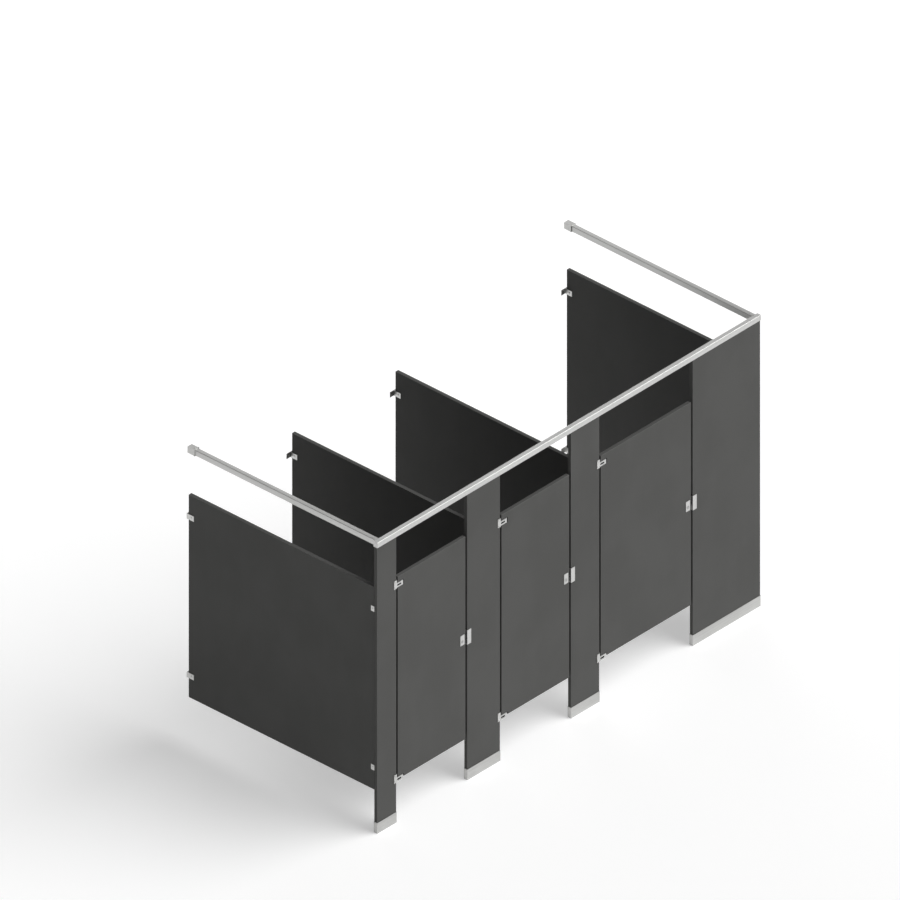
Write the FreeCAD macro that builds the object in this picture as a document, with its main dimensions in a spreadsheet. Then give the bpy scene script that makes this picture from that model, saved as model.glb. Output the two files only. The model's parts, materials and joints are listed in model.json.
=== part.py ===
import FreeCAD, Part
import math
import os
import re
import Sketcher

# A row of three toilet cubicles: solid plastic boards on shoes, an overhead rail, and steel fittings.
# X runs along the row, the doors face -Y, the wall stands at +Y, and Z = 0 is the floor.

doc = FreeCAD.newDocument("toilet_partition")
sheet = doc.addObject("Spreadsheet::Sheet", "sizes")

driving_dimensions = {
    # boards
    "board": 25.4,
    "edge_round": 1.5,
    "pilaster_1_width": 171.5,
    "pilaster_2_width": 295.0,
    "pilaster_3_width": 255.0,
    "pilaster_4_width": 608.0,
    "pilaster_height": 2083.0,
    "floor_gap": 29.4,
    "door_1_width": 609.6,
    "door_2_width": 609.6,
    "door_3_width": 812.8,
    "door_height": 1473.2,
    "door_bottom": 304.8,
    "hinge_gap": 15.0,
    "strike_gap": 17.0,
    "panel_depth": 1532.0,
    "panel_height": 1473.2,
    "panel_bottom": 304.8,
    "panel_front_gap": 6.0,
    "panel_wall_gap": 14.6,
    "end_panel_left_inset": 4.0,
    "end_panel_right_inset": 14.0,
    "divider_left_offset": 137.0,
    "divider_right_offset": 134.0,
    # headrail
    "rail_depth": 31.75,
    "rail_height": 38.1,
    "rail_wall": 2.6,
    "rail_round": 3.0,
    "side_rail_inset": 13.0,
    "side_rail_end_gap": 14.0,
    "cap_thickness": 3.0,
    "angle_length": 45.0,
    "angle_plate": 4.0,
    "angle_clearance": 0.3,
    "angle_foot_gap": 3.0,
    "socket_length": 60.0,
    "socket_wall": 3.0,
    "socket_back": 4.0,
    "socket_lip": 1.5,
    "socket_lip_length": 7.0,
    "socket_clearance": 0.4,
    "socket_hole_radius": 3.3,
    "socket_hole_spacing": 20.0,
    "socket_screw_inset": 16.0,
    # shoes and levelling feet
    "shoe_height": 76.2,
    "shoe_sheet": 1.0,
    "shoe_clearance": 1.5,
    "shoe_screw_height": 55.0,
    "foot_radius": 11.0,
    "foot_height": 6.0,
    "foot_inset": 45.0,
    "stud_radius": 5.0,
    "stud_reach": 60.0,
    "nut_radius": 9.2,
    "nut_height": 8.0,
    "thread_clearance": 0.05,
    # panel brackets
    "bracket_height": 38.1,
    "bracket_sheet": 2.5,
    "bracket_inset": 160.0,
    "ear_width": 32.0,
    "ear_hole_radius": 3.3,
    "wall_cheek_reach": 45.0,
    "pilaster_cheek_reach": 22.0,
    "cheek_clearance": 0.15,
    # fasteners
    "bolt_radius": 3.0,
    "bolt_clearance": 0.15,
    "bolt_head_radius": 6.5,
    "bolt_head_top": 4.5,
    "bolt_head_height": 2.5,
    "screw_radius": 2.0,
    "screw_clearance": 0.1,
    "screw_head_radius": 4.5,
    "screw_head_top": 3.2,
    "screw_head_height": 2.0,
    "screw_reach": 18.0,
    "drill_overrun": 1.0,
    # hinges
    "hinge_leaf": 3.0,
    "hinge_leaf_width": 22.0,
    "hinge_leaf_height": 60.0,
    "hinge_web": 3.0,
    "hinge_bolt_spread": 40.0,
    "hinge_top_drop": 48.0,
    "hinge_bottom_rise": 15.2,
    "tongue_height": 32.0,
    "tongue_drop_top": 10.0,
    "tongue_drop_bottom": 13.0,
    "tongue_proud": 1.0,
    "tongue_nose": 26.0,
    "tongue_slot_start": 8.0,
    "tongue_slot_length": 37.0,
    "tongue_slot_height": 12.0,
    "tongue_slot_depth": 7.0,
    "pivot_offset": 38.0,
    "pin_radius": 4.0,
    "pin_clearance": 0.05,
    "pin_reach": 22.0,
    "bush_wall": 2.5,
    "bush_clearance": 0.05,
    "washer_radius": 11.0,
    "washer_thickness": 1.5,
    "notch_clearance": 6.0,
    "notch_headroom": 2.0,
    # latches
    "latch_height": 1038.0,
    "plate_width": 37.0,
    "plate_height": 73.0,
    "plate_thickness": 2.5,
    "plate_inset": 10.5,
    "plate_bite": 1.5,
    "spindle_drop": 10.0,
    "spindle_radius": 5.0,
    "spindle_clearance": 0.05,
    "disc_radius": 11.0,
    "disc_proud": 0.8,
    "disc_clearance": 0.3,
    "coin_slot_width": 2.4,
    "coin_slot_length": 15.0,
    "coin_slot_depth": 1.4,
    "crank_gap": 0.5,
    "crank_thickness": 3.5,
    "crank_pin_radius": 2.5,
    "crank_rim": 0.6,
    "crank_hub_radius": 8.0,
    "slot_play": 0.75,
    "bolt_travel": 28.0,
    "bolt_length": 54.0,
    "bolt_depth": 8.0,
    "bolt_height": 22.0,
    "bolt_rise": 9.0,
    "bolt_setback": 1.0,
    "bolt_play": 0.5,
    "case_length": 58.0,
    "case_wall": 2.0,
    "case_edge_gap": 2.0,
    "case_boss_radius": 4.5,
    "case_screw_inset": 5.5,
    "thumb_hub_radius": 9.0,
    "thumb_hub_height": 5.0,
    "thumb_length": 44.0,
    "thumb_width": 9.0,
    "thumb_height": 14.0,
    "lip_thickness": 6.0,
    "lip_height": 30.0,
    "lip_drop": 19.0,
    "lip_setback": 9.0,
    "lip_sheet": 2.5,
    # keepers
    "keeper_plate": 3.0,
    "keeper_width": 32.0,
    "keeper_height": 104.0,
    "keeper_web": 3.0,
    "keeper_screw_spread": 80.0,
    "loop_wall": 3.0,
    "loop_length": 16.0,
    "loop_play": 3.0,
    "fin_reach": 7.0,
    "bumper_setback": 2.0,
    "bumper_edge_gap": 1.0,
    "bumper_gap": 0.3,
    # coat hooks
    "hook_drop": 128.0,
    "hook_drop_wide": 559.0,
    "hook_plate": 3.0,
    "hook_plate_width": 34.0,
    "hook_plate_height": 54.0,
    "hook_screw_spread": 38.0,
    "hook_arm_radius": 4.5,
    "hook_reach": 58.0,
    "hook_knob_radius": 9.0,
}
for row, (alias, value) in enumerate(driving_dimensions.items(), start=1):
    sheet.set("A%d" % row, alias)
    sheet.set("B%d" % row, str(value))
    sheet.setAlias("B%d" % row, alias)
doc.recompute()

# Places along the row, worked out from the driving dimensions

door_count = 3
doors = range(1, door_count + 1)
pilasters = range(1, door_count + 2)
outward_door = door_count

row_width = "(%s + %s + %d * (hinge_gap + strike_gap))" % (
    " + ".join("pilaster_%d_width" % number for number in pilasters),
    " + ".join("door_%d_width" % number for number in doors),
    door_count,
)
row_depth = "(hinge_leaf + bolt_head_height + board + panel_front_gap + panel_depth + panel_wall_gap)"
front_face = "(hinge_leaf + bolt_head_height - %s / 2)" % row_depth
middle_plane = "(%s + board / 2)" % front_face
back_face = "(%s + board)" % front_face
wall_face = "(%s / 2)" % row_depth
row_left = "(-%s / 2)" % row_width
row_right = "(%s + %s)" % (row_left, row_width)

pilaster_left = {1: row_left}
pilaster_right = {}
door_left = {}
door_right = {}
for number in pilasters:
    pilaster_right[number] = "(%s + pilaster_%d_width)" % (pilaster_left[number], number)
    if number in doors:
        door_left[number] = "(%s + hinge_gap)" % pilaster_right[number]
        door_right[number] = "(%s + door_%d_width)" % (door_left[number], number)
        pilaster_left[number + 1] = "(%s + strike_gap)" % door_right[number]

panel_left = {
    "end_panel_left": "(%s + end_panel_left_inset)" % pilaster_left[1],
    "divider_panel_left": "(%s + divider_left_offset - board / 2)" % pilaster_left[2],
    "divider_panel_right": "(%s + divider_right_offset - board / 2)" % pilaster_left[3],
    "end_panel_right": "(%s - end_panel_right_inset - board)" % pilaster_right[4],
}
panel_front = "(%s + panel_front_gap)" % back_face
panel_back = "(%s + panel_depth)" % panel_front
bracket_middles = (
    "(panel_bottom + bracket_inset)",
    "(panel_bottom + panel_height - bracket_inset)",
)

pilaster_top = "(floor_gap + pilaster_height)"
rail_top = "(%s + rail_wall)" % pilaster_top
rail_bottom = "(%s - rail_height)" % rail_top
rail_middle = "(%s - rail_height / 2)" % rail_top
rail_front = "(%s - rail_depth / 2)" % middle_plane
rail_back = "(%s + rail_depth / 2)" % middle_plane
rail_slack = "((rail_depth - board) / 2 - rail_wall)"

door_top = "(door_bottom + door_height)"
leaf_middles = {"top": "(%s - hinge_top_drop)" % door_top, "bottom": "(door_bottom + hinge_bottom_rise)"}
tongue_middles = {end: "(%s - tongue_drop_%s)" % (words, end) for end, words in leaf_middles.items()}

# Small makers: every size and place is written in words that name cells of the sheet

turns = {
    "+x": FreeCAD.Vector(1, 0, 0),
    "-x": FreeCAD.Vector(-1, 0, 0),
    "+y": FreeCAD.Vector(0, 1, 0),
    "-y": FreeCAD.Vector(0, -1, 0),
    "+z": FreeCAD.Vector(0, 0, 1),
    "-z": FreeCAD.Vector(0, 0, -1),
}
opposite = {"+x": "-x", "-x": "+x", "+y": "-y", "-y": "+y", "+z": "-z", "-z": "+z"}


def bound(words):
    return re.sub(r"[a-z]\w*(?![\w(])", lambda word: "sizes." + word.group(0), words)


def tie(thing, **sizes):
    for name, words in sizes.items():
        thing.setExpression(name, bound(words))
    return thing


def place(thing, point):
    for axis, words in zip("xyz", point):
        thing.setExpression("Placement.Base." + axis, bound(words))
    return thing


def shift(point, axis, distance):
    moved = list(point)
    index = "xyz".index(axis[1])
    moved[index] = "(%s %s (%s))" % (moved[index], axis[0], distance)
    return tuple(moved)


def block(size, corner):
    box = doc.addObject("Part::Box", "block")
    tie(box, Length=size[0], Width=size[1], Height=size[2])
    return place(box, corner)


def turned(thing, axis):
    thing.Placement = FreeCAD.Placement(
        FreeCAD.Vector(), FreeCAD.Rotation(turns["+z"], turns[axis])
    )
    return thing


def rod(radius, length, foot, axis):
    cylinder = turned(doc.addObject("Part::Cylinder", "rod"), axis)
    tie(cylinder, Radius=radius, Height=length)
    return place(cylinder, foot)


def taper(foot_radius, tip_radius, length, foot, axis):
    cone = turned(doc.addObject("Part::Cone", "taper"), axis)
    tie(cone, Radius1=foot_radius, Radius2=tip_radius, Height=length)
    return place(cone, foot)


def group(pieces):
    compound = doc.addObject("Part::Compound", "group")
    compound.Links = pieces
    return compound


def fuse(pieces):
    joined = doc.addObject("Part::MultiFuse", "fuse")
    joined.Shapes = pieces
    joined.Refine = True
    return joined


def cut(base, tools):
    remainder = doc.addObject("Part::Cut", "cut")
    remainder.Base = base
    remainder.Tool = group(tools)
    return remainder


def common(first, second):
    shared = doc.addObject("Part::Common", "common")
    shared.Base = first
    shared.Tool = second
    return shared


def ring(outer_radius, bore_radius, length, foot, axis):
    outer = rod(outer_radius, length, foot, axis)
    bore = rod(bore_radius, "%s + 2 * drill_overrun" % length, shift(foot, axis, "-drill_overrun"), axis)
    return cut(outer, [bore])


def outline(body, plane_role, loops):
    sketch = body.newObject("Sketcher::SketchObject", "outline")
    planes = [feature for feature in body.Origin.OriginFeatures if feature.Role == plane_role]
    sketch.AttachmentSupport = [(planes[0], "")]
    sketch.MapMode = "FlatFace"
    first = 0
    for loop_number, corners in enumerate(loops, start=1):
        count = len(corners)
        rough_radius = 100.0 / loop_number
        angles = [2 * math.pi * index / count for index in range(count)]
        rough = [FreeCAD.Vector(rough_radius * math.cos(a), rough_radius * math.sin(a), 0) for a in angles]
        for index in range(count):
            sketch.addGeometry(Part.LineSegment(rough[index], rough[(index + 1) % count]))
        for index in range(count):
            following = first + (index + 1) % count
            sketch.addConstraint(Sketcher.Constraint("Coincident", first + index, 2, following, 1))
        for index, corner in enumerate(corners):
            starts = (rough[index].x, rough[index].y)
            for kind, words, start in zip(("DistanceX", "DistanceY"), corner, starts):
                row = sketch.addConstraint(Sketcher.Constraint(kind, -1, 1, first + index, 1, start))
                sketch.setExpression("Constraints[%d]" % row, bound(words))
        first += count
    return sketch


def extrusion(name, plane_role, loops, length, corner):
    body = doc.addObject("PartDesign::Body", name)
    pad = body.newObject("PartDesign::Pad", "pad")
    pad.Profile = outline(body, plane_role, loops)
    pad.Reversed = plane_role == "XZ_Plane"
    tie(pad, Length=length)
    body.Tip = pad
    place(body, corner)
    return body


def ease(body, radius, picks):
    doc.recompute()
    solid = body.Tip
    fillet = body.newObject("PartDesign::Fillet", "eased_edges")
    chosen = [number for number, edge in enumerate(solid.Shape.Edges, start=1) if picks(edge)]
    fillet.Base = (solid, ["Edge%d" % number for number in chosen])
    tie(fillet, Radius=radius)
    body.Tip = fillet
    return body


def rectangle(width, height):
    return [("0", "0"), (width, "0"), (width, height), ("0", height)]


def edge_direction(edge):
    return edge.tangentAt(edge.FirstParameter)


# The stock of pieces: blanks wait for their drilled holes, groups gather like pieces in one node

blanks = {}
drills = {}
groups = {}


def add_blank(node, blank):
    blanks[node] = blank
    drills.setdefault(node, [])


def add_to_group(node, piece):
    groups.setdefault(node, []).append(piece)


def drill(node, radius, length, foot, axis):
    start = shift(foot, axis, "-drill_overrun")
    drills.setdefault(node, []).append(rod(radius, "%s + drill_overrun" % length, start, axis))


def through_bolt(seat, axis, grip):
    far_seat = shift(seat, axis, grip)
    shank = rod("bolt_radius", grip, seat, axis)
    near_head = taper("bolt_head_radius", "bolt_head_top", "bolt_head_height", seat, opposite[axis])
    far_head = taper("bolt_head_radius", "bolt_head_top", "bolt_head_height", far_seat, axis)
    return fuse([shank, near_head, far_head])


def screw(seat, axis, reach):
    shank = rod("screw_radius", reach, seat, axis)
    head = taper("screw_head_radius", "screw_head_top", "screw_head_height", seat, opposite[axis])
    return fuse([shank, head])


bolt_hole = "bolt_radius + bolt_clearance"
screw_hole = "screw_radius + screw_clearance"


# Boards

def upright_board(node, width, height, corner):
    body = extrusion(node + "_board", "XZ_Plane", [rectangle(width, height)], "board", corner)
    ease(body, "edge_round", lambda edge: abs(edge_direction(edge).y) < 0.5)
    add_blank(node, body)


for number in pilasters:
    corner = (pilaster_left[number], front_face, "floor_gap")
    upright_board("pilaster_%d" % number, "pilaster_%d_width" % number, "pilaster_height", corner)

for number in doors:
    corner = (door_left[number], front_face, "door_bottom")
    upright_board("door_%d" % number, "door_%d_width" % number, "door_height", corner)

for node, left in panel_left.items():
    loops = [rectangle("panel_depth", "panel_height")]
    body = extrusion(node + "_board", "YZ_Plane", loops, "board", (left, panel_front, "panel_bottom"))
    ease(body, "edge_round", lambda edge: abs(edge_direction(edge).x) < 0.5)
    add_blank(node, body)


# Shoes and levelling feet under each pilaster

shoe_margin = "(shoe_clearance + shoe_sheet)"


def shoe(number):
    width = "pilaster_%d_width" % number
    outer = rectangle("%s + 2 * %s" % (width, shoe_margin), "board + 2 * %s" % shoe_margin)
    far_x = "%s + 2 * shoe_clearance + shoe_sheet" % width
    far_y = "board + 2 * shoe_clearance + shoe_sheet"
    inner = [("shoe_sheet", "shoe_sheet"), (far_x, "shoe_sheet"), (far_x, far_y), ("shoe_sheet", far_y)]
    corner = (
        "%s - %s" % (pilaster_left[number], shoe_margin),
        "%s - %s" % (front_face, shoe_margin),
        "0",
    )
    sleeve = extrusion("shoe_sleeve", "XY_Plane", [outer, inner], "shoe_height", corner)
    node = "shoe_%d" % number
    add_blank(node, sleeve)
    for side in ("-", "+"):
        x = "%s + %s / 2 %s %s / 8" % (pilaster_left[number], width, side, width)
        seat = (x, "%s + %s" % (back_face, shoe_margin), "shoe_screw_height")
        add_to_group("shoe_screws", screw(seat, "-y", "%s + screw_reach" % shoe_margin))
        drill(node, screw_hole, "shoe_sheet + drill_overrun", seat, "-y")
        drill("pilaster_%d" % number, screw_hole, "screw_reach", (x, back_face, "shoe_screw_height"), "-y")


def levelling_foot(number, x):
    pad = rod("foot_radius", "foot_height", (x, middle_plane, "0"), "+z")
    stud = rod("stud_radius", "floor_gap + stud_reach", (x, middle_plane, "0"), "+z")
    add_to_group("levelling_feet", fuse([pad, stud]))
    nut = doc.addObject("Part::Prism", "nut")
    nut.Polygon = 6
    tie(nut, Circumradius="nut_radius", Height="nut_height")
    place(nut, (x, middle_plane, "floor_gap - nut_height"))
    thread = rod(
        "stud_radius + thread_clearance",
        "nut_height + 2 * drill_overrun",
        (x, middle_plane, "floor_gap - nut_height - drill_overrun"),
        "+z",
    )
    add_to_group("levelling_nuts", cut(nut, [thread]))
    socket = (x, middle_plane, "floor_gap")
    drill("pilaster_%d" % number, "stud_radius + thread_clearance", "stud_reach", socket, "+z")


for number in pilasters:
    shoe(number)
    levelling_foot(number, "(%s + foot_inset)" % pilaster_left[number])
    levelling_foot(number, "(%s - foot_inset)" % pilaster_right[number])


# Headrail: an inverted channel over the pilasters, and one along each side to the wall

edge_tolerance = 0.01


def channel():
    inner_far = "rail_depth - rail_wall"
    inner_top = "rail_height - rail_wall"
    return [
        ("0", "0"),
        ("rail_wall", "0"),
        ("rail_wall", inner_top),
        (inner_far, inner_top),
        (inner_far, "0"),
        ("rail_depth", "0"),
        ("rail_depth", "rail_height"),
        ("0", "rail_height"),
    ]


def round_top(body, run):
    doc.recompute()
    crown = body.Tip.Shape.BoundBox.ZMax

    def on_crown(edge):
        along = abs(getattr(edge_direction(edge), run)) > 0.5
        return along and edge.CenterOfMass.z > crown - edge_tolerance

    return ease(body, "rail_round", on_crown)


rail_corner = (row_left, rail_front, rail_bottom)
front_rail = extrusion("front_rail", "YZ_Plane", [channel()], row_width, rail_corner)
add_blank("headrail_front", round_top(front_rail, "x"))

side_rail_left = {
    "left": "(%s + side_rail_inset)" % row_left,
    "right": "(%s - side_rail_inset - rail_depth)" % row_right,
}
side_rail_end = "(%s - socket_back - side_rail_end_gap)" % wall_face
angle_width = "(rail_depth - 2 * rail_wall - 2 * angle_clearance)"


def side_rail(side, pilaster):
    node = "headrail_%s" % side
    left = side_rail_left[side]
    middle = "(%s + rail_depth / 2)" % left
    length = "%s - %s" % (side_rail_end, rail_back)
    rail = extrusion(node + "_channel", "XZ_Plane", [channel()], length, (left, rail_back, rail_bottom))
    add_blank(node, round_top(rail, "y"))

    # the angle inside the corner, screwed to the front rail and to the side rail's top
    angle_left = "(%s - %s / 2)" % (middle, angle_width)
    end_plate = block(
        (angle_width, "angle_plate", "rail_height - rail_wall - angle_foot_gap"),
        (angle_left, rail_back, "%s + angle_foot_gap" % rail_bottom),
    )
    tongue = block(
        (angle_width, "angle_length", "angle_plate"),
        (angle_left, rail_back, "%s - angle_plate" % pilaster_top),
    )
    end_seat = (middle, "(%s + angle_plate)" % rail_back, rail_middle)
    end_reach = "(angle_plate + rail_wall + %s + screw_reach)" % rail_slack
    top_seat = (middle, "(%s + angle_length * 2 / 3)" % rail_back, rail_top)
    holes = [
        rod(screw_hole, "angle_plate + 2 * drill_overrun", shift(end_seat, "+y", "drill_overrun"), "-y"),
        rod(screw_hole, "rail_wall + angle_plate + drill_overrun", top_seat, "-z"),
    ]
    add_to_group("headrail_corner_angles", cut(fuse([end_plate, tongue]), holes))
    add_to_group("headrail_screws", screw(end_seat, "-y", end_reach))
    add_to_group("headrail_screws", screw(top_seat, "-z", "rail_wall + angle_plate"))
    through_rail = "rail_wall + %s" % rail_slack
    drill("headrail_front", screw_hole, through_rail, (middle, rail_back, rail_middle), "-y")
    drill("pilaster_%d" % pilaster, screw_hole, "screw_reach", (middle, back_face, rail_middle), "-y")
    drill(node, screw_hole, "rail_wall + drill_overrun", top_seat, "-z")

    # the socket that holds the rail's end on the wall
    margin = "(socket_clearance + socket_wall)"
    lip_margin = "(%s + socket_lip)" % margin
    mouth = "(%s - socket_length)" % wall_face
    shell = block(
        ("rail_depth + 2 * %s" % margin, "socket_length", "rail_height + 2 * %s" % margin),
        ("%s - %s" % (left, margin), mouth, "%s - %s" % (rail_bottom, margin)),
    )
    lip = block(
        ("rail_depth + 2 * %s" % lip_margin, "socket_lip_length", "rail_height + 2 * %s" % lip_margin),
        ("%s - %s" % (left, lip_margin), mouth, "%s - %s" % (rail_bottom, lip_margin)),
    )
    cavity = block(
        (
            "rail_depth + 2 * socket_clearance",
            "socket_length - socket_back + drill_overrun",
            "rail_height + 2 * socket_clearance",
        ),
        (
            "%s - socket_clearance" % left,
            "%s - drill_overrun" % mouth,
            "%s - socket_clearance" % rail_bottom,
        ),
    )
    wall_holes = [
        rod(
            "socket_hole_radius",
            "socket_back + 2 * drill_overrun",
            (
                middle,
                "%s - socket_back - drill_overrun" % wall_face,
                "%s %s socket_hole_spacing / 2" % (rail_middle, sign),
            ),
            "+y",
        )
        for sign in ("-", "+")
    ]
    top_of_socket = "(%s + %s)" % (rail_top, margin)
    grip_seat = (middle, "(%s + socket_screw_inset)" % mouth, top_of_socket)
    grip_hole = rod(screw_hole, margin, grip_seat, "-z")
    add_to_group("headrail_wall_sockets", cut(fuse([shell, lip]), [cavity, grip_hole] + wall_holes))
    add_to_group("headrail_screws", screw(grip_seat, "-z", "%s + rail_wall + drill_overrun" % margin))
    drill(node, screw_hole, "rail_wall + drill_overrun", (grip_seat[0], grip_seat[1], rail_top), "-z")


side_rail("left", 1)
side_rail("right", 4)


def end_cap(outer_x, inner_x, pilaster, axis):
    corner = (outer_x if axis == "+x" else inner_x, rail_front, rail_bottom)
    face_outline = rectangle("rail_depth", "rail_height")
    plate = extrusion("cap_plate", "YZ_Plane", [face_outline], "cap_thickness", corner)
    round_top(plate, "x")
    face = (outer_x, middle_plane, rail_middle)
    edge = (inner_x, middle_plane, rail_middle)
    sink = taper("screw_head_radius + screw_clearance", screw_hole, "cap_thickness", face, axis)
    add_to_group("headrail_end_caps", cut(plate, [sink]))
    head = taper("screw_head_radius", "screw_radius", "cap_thickness", face, axis)
    add_to_group("headrail_screws", fuse([head, rod("screw_radius", "screw_reach", edge, axis)]))
    drill("pilaster_%d" % pilaster, screw_hole, "screw_reach", edge, axis)


end_cap("(%s - cap_thickness)" % row_left, row_left, 1, "+x")
end_cap("(%s + cap_thickness)" % row_right, row_right, 4, "-x")

for number in pilasters:
    middle = "(%s + pilaster_%d_width / 2)" % (pilaster_left[number], number)
    seat = (middle, rail_back, rail_middle)
    add_to_group("headrail_screws", screw(seat, "-y", "rail_wall + %s + screw_reach" % rail_slack))
    drill("headrail_front", screw_hole, "rail_wall + %s" % rail_slack, seat, "-y")
    drill("pilaster_%d" % number, screw_hole, "screw_reach", (middle, back_face, rail_middle), "-y")


# Panel brackets: two cheeks hold the panel's end, ears lie flat on the wall or the pilaster,
# and the end panels have ears on their inner side only

cheek_gap = "(board + 2 * cheek_clearance)"
ear_middle = "(%s / 2 + bracket_sheet + ear_width / 2)" % cheek_gap


def bracket(plate_face, cheek_tip, left, right, middle, height_middle):
    length = "(%s - %s)" % (cheek_tip, plate_face)
    if plate_face == wall_face:
        length = "(%s - %s)" % (plate_face, cheek_tip)
    near = "ear_width" if left else "0"
    inner_near = "%s + bracket_sheet" % near
    inner_far = "%s + %s" % (inner_near, cheek_gap)
    far = "%s + bracket_sheet" % inner_far
    across = "%s + ear_width" % far if right else far
    profile = [("0", "0"), (across, "0")]
    if right:
        profile += [(across, "bracket_sheet"), (far, "bracket_sheet")]
    profile += [
        (far, length),
        (inner_far, length),
        (inner_far, "bracket_sheet"),
        (inner_near, "bracket_sheet"),
        (inner_near, length),
        (near, length),
    ]
    if left:
        profile += [(near, "bracket_sheet"), ("0", "bracket_sheet")]
    corner_x = "%s - %s / 2 - bracket_sheet" % (middle, cheek_gap)
    if left:
        corner_x += " - ear_width"
    corner_z = "%s - bracket_height / 2" % height_middle
    corner = (corner_x, plate_face, corner_z)
    if plate_face == wall_face:
        profile = [(x, "%s - (%s)" % (length, y)) for x, y in profile]
        corner = (corner_x, cheek_tip, corner_z)
    return extrusion("bracket", "XY_Plane", [profile], "bracket_height", corner)


def cheek_bolt(node, middle, y, z):
    outside = "(%s / 2 + bracket_sheet)" % cheek_gap
    seat = ("(%s - %s)" % (middle, outside), y, z)
    add_to_group("panel_bolts", through_bolt(seat, "+x", "(2 * %s)" % outside))
    drill(node, bolt_hole, "board + drill_overrun", (panel_left[node], y, z), "+x")
    long_hole = "2 * %s + 2 * drill_overrun" % outside
    return rod(bolt_hole, long_hole, shift(seat, "-x", "drill_overrun"), "+x")


def ear_hole(radius, plate_face, side, middle, z):
    start = "%s - bracket_sheet - drill_overrun" % plate_face
    foot = ("%s %s %s" % (middle, side, ear_middle), start, z)
    return rod(radius, "2 * bracket_sheet + 2 * drill_overrun", foot, "+y")


for pilaster, (node, left) in enumerate(panel_left.items(), start=1):
    middle = "(%s + board / 2)" % left
    wall_tip = "(%s - wall_cheek_reach)" % panel_back
    pilaster_tip = "(%s + pilaster_cheek_reach)" % panel_front
    left_ear = node != "end_panel_left"
    right_ear = node != "end_panel_right"
    sides = [side for side, present in (("-", left_ear), ("+", right_ear)) if present]
    for z in bracket_middles:
        holes = [cheek_bolt(node, middle, "(%s - wall_cheek_reach / 2)" % panel_back, z)]
        holes += [ear_hole("ear_hole_radius", wall_face, side, middle, z) for side in sides]
        blank = bracket(wall_face, wall_tip, left_ear, right_ear, middle, z)
        add_to_group("wall_brackets", cut(blank, holes))

        bolt_y = "(%s + (panel_front_gap + pilaster_cheek_reach) / 2)" % back_face
        holes = [cheek_bolt(node, middle, bolt_y, z)]
        holes += [ear_hole(screw_hole, back_face, side, middle, z) for side in sides]
        blank = bracket(back_face, pilaster_tip, left_ear, right_ear, middle, z)
        add_to_group("pilaster_brackets", cut(blank, holes))
        for side in sides:
            x = "(%s %s %s)" % (middle, side, ear_middle)
            seat = (x, "(%s + bracket_sheet)" % back_face, z)
            add_to_group("bracket_screws", screw(seat, "-y", "bracket_sheet + screw_reach"))
            drill("pilaster_%d" % pilaster, screw_hole, "screw_reach", (x, back_face, z), "-y")


# Hinges: a bracket wraps the pilaster's edge, and its tongue carries the pin inside a notch of the door

tongue_depth = "(board + 2 * tongue_proud)"
tongue_front = "(%s - tongue_proud)" % front_face
bush_radius = "(pin_radius + pin_clearance + bush_wall)"
notch_length = "(pivot_offset - hinge_gap + tongue_nose + notch_clearance)"


def hinge_bracket(number, end):
    edge = pilaster_right[number]
    pivot = "(%s + pivot_offset)" % edge
    leaf_bottom = "(%s - hinge_leaf_height / 2)" % leaf_middles[end]
    tongue_bottom = "(%s - tongue_height / 2)" % tongue_middles[end]
    leaf_size = ("hinge_leaf_width", "hinge_leaf", "hinge_leaf_height")
    leaf_front = "(%s - hinge_leaf)" % front_face
    outer_leaf = block(leaf_size, ("%s - hinge_leaf_width" % edge, leaf_front, leaf_bottom))
    inner_leaf = block(leaf_size, ("%s - hinge_leaf_width" % edge, back_face, leaf_bottom))
    web = block(
        ("hinge_web", "board + 2 * hinge_leaf", "hinge_leaf_height"), (edge, leaf_front, leaf_bottom)
    )
    tongue = block(("pivot_offset", tongue_depth, "tongue_height"), (edge, tongue_front, tongue_bottom))
    nose = common(
        block(("tongue_nose", tongue_depth, "tongue_height"), (pivot, tongue_front, tongue_bottom)),
        rod("tongue_nose", "tongue_height", (pivot, middle_plane, tongue_bottom), "+z"),
    )
    casting = fuse([outer_leaf, inner_leaf, web, tongue, nose])

    slot_start = "(%s + tongue_slot_start + tongue_slot_height / 2)" % edge
    slot_run = "(tongue_slot_length - tongue_slot_height)"
    slot_front = "(%s - drill_overrun)" % tongue_front
    slot_depth = "tongue_slot_depth + drill_overrun"
    slot_middle = tongue_middles[end]
    tools = [
        block(
            (slot_run, slot_depth, "tongue_slot_height"),
            (slot_start, slot_front, "%s - tongue_slot_height / 2" % slot_middle),
        ),
        rod("tongue_slot_height / 2", slot_depth, (slot_start, slot_front, slot_middle), "+y"),
        rod(
            "tongue_slot_height / 2",
            slot_depth,
            ("%s + %s" % (slot_start, slot_run), slot_front, slot_middle),
            "+y",
        ),
        rod(
            "pin_radius + pin_clearance",
            "tongue_height + 2 * drill_overrun",
            (pivot, middle_plane, "%s - drill_overrun" % tongue_bottom),
            "+z",
        ),
    ]
    for sign in ("-", "+"):
        bolt_x = "(%s - hinge_leaf_width / 2)" % edge
        bolt_z = "(%s %s hinge_bolt_spread / 2)" % (leaf_middles[end], sign)
        seat = (bolt_x, leaf_front, bolt_z)
        add_to_group("hinge_bolts", through_bolt(seat, "+y", "(board + 2 * hinge_leaf)"))
        long_hole = "board + 2 * hinge_leaf + 2 * drill_overrun"
        tools.append(rod(bolt_hole, long_hole, shift(seat, "-y", "drill_overrun"), "+y"))
        board_face = (bolt_x, front_face, bolt_z)
        drill("pilaster_%d" % number, bolt_hole, "board + drill_overrun", board_face, "+y")
    add_to_group("hinge_brackets_%s" % end, cut(casting, tools))


def door_bush(number, pivot, bottom, length):
    foot = (pivot, middle_plane, bottom)
    bush = ring(bush_radius, "pin_radius + pin_clearance", length, foot, "+z")
    add_to_group("hinge_bushes_%d" % number, bush)


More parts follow.
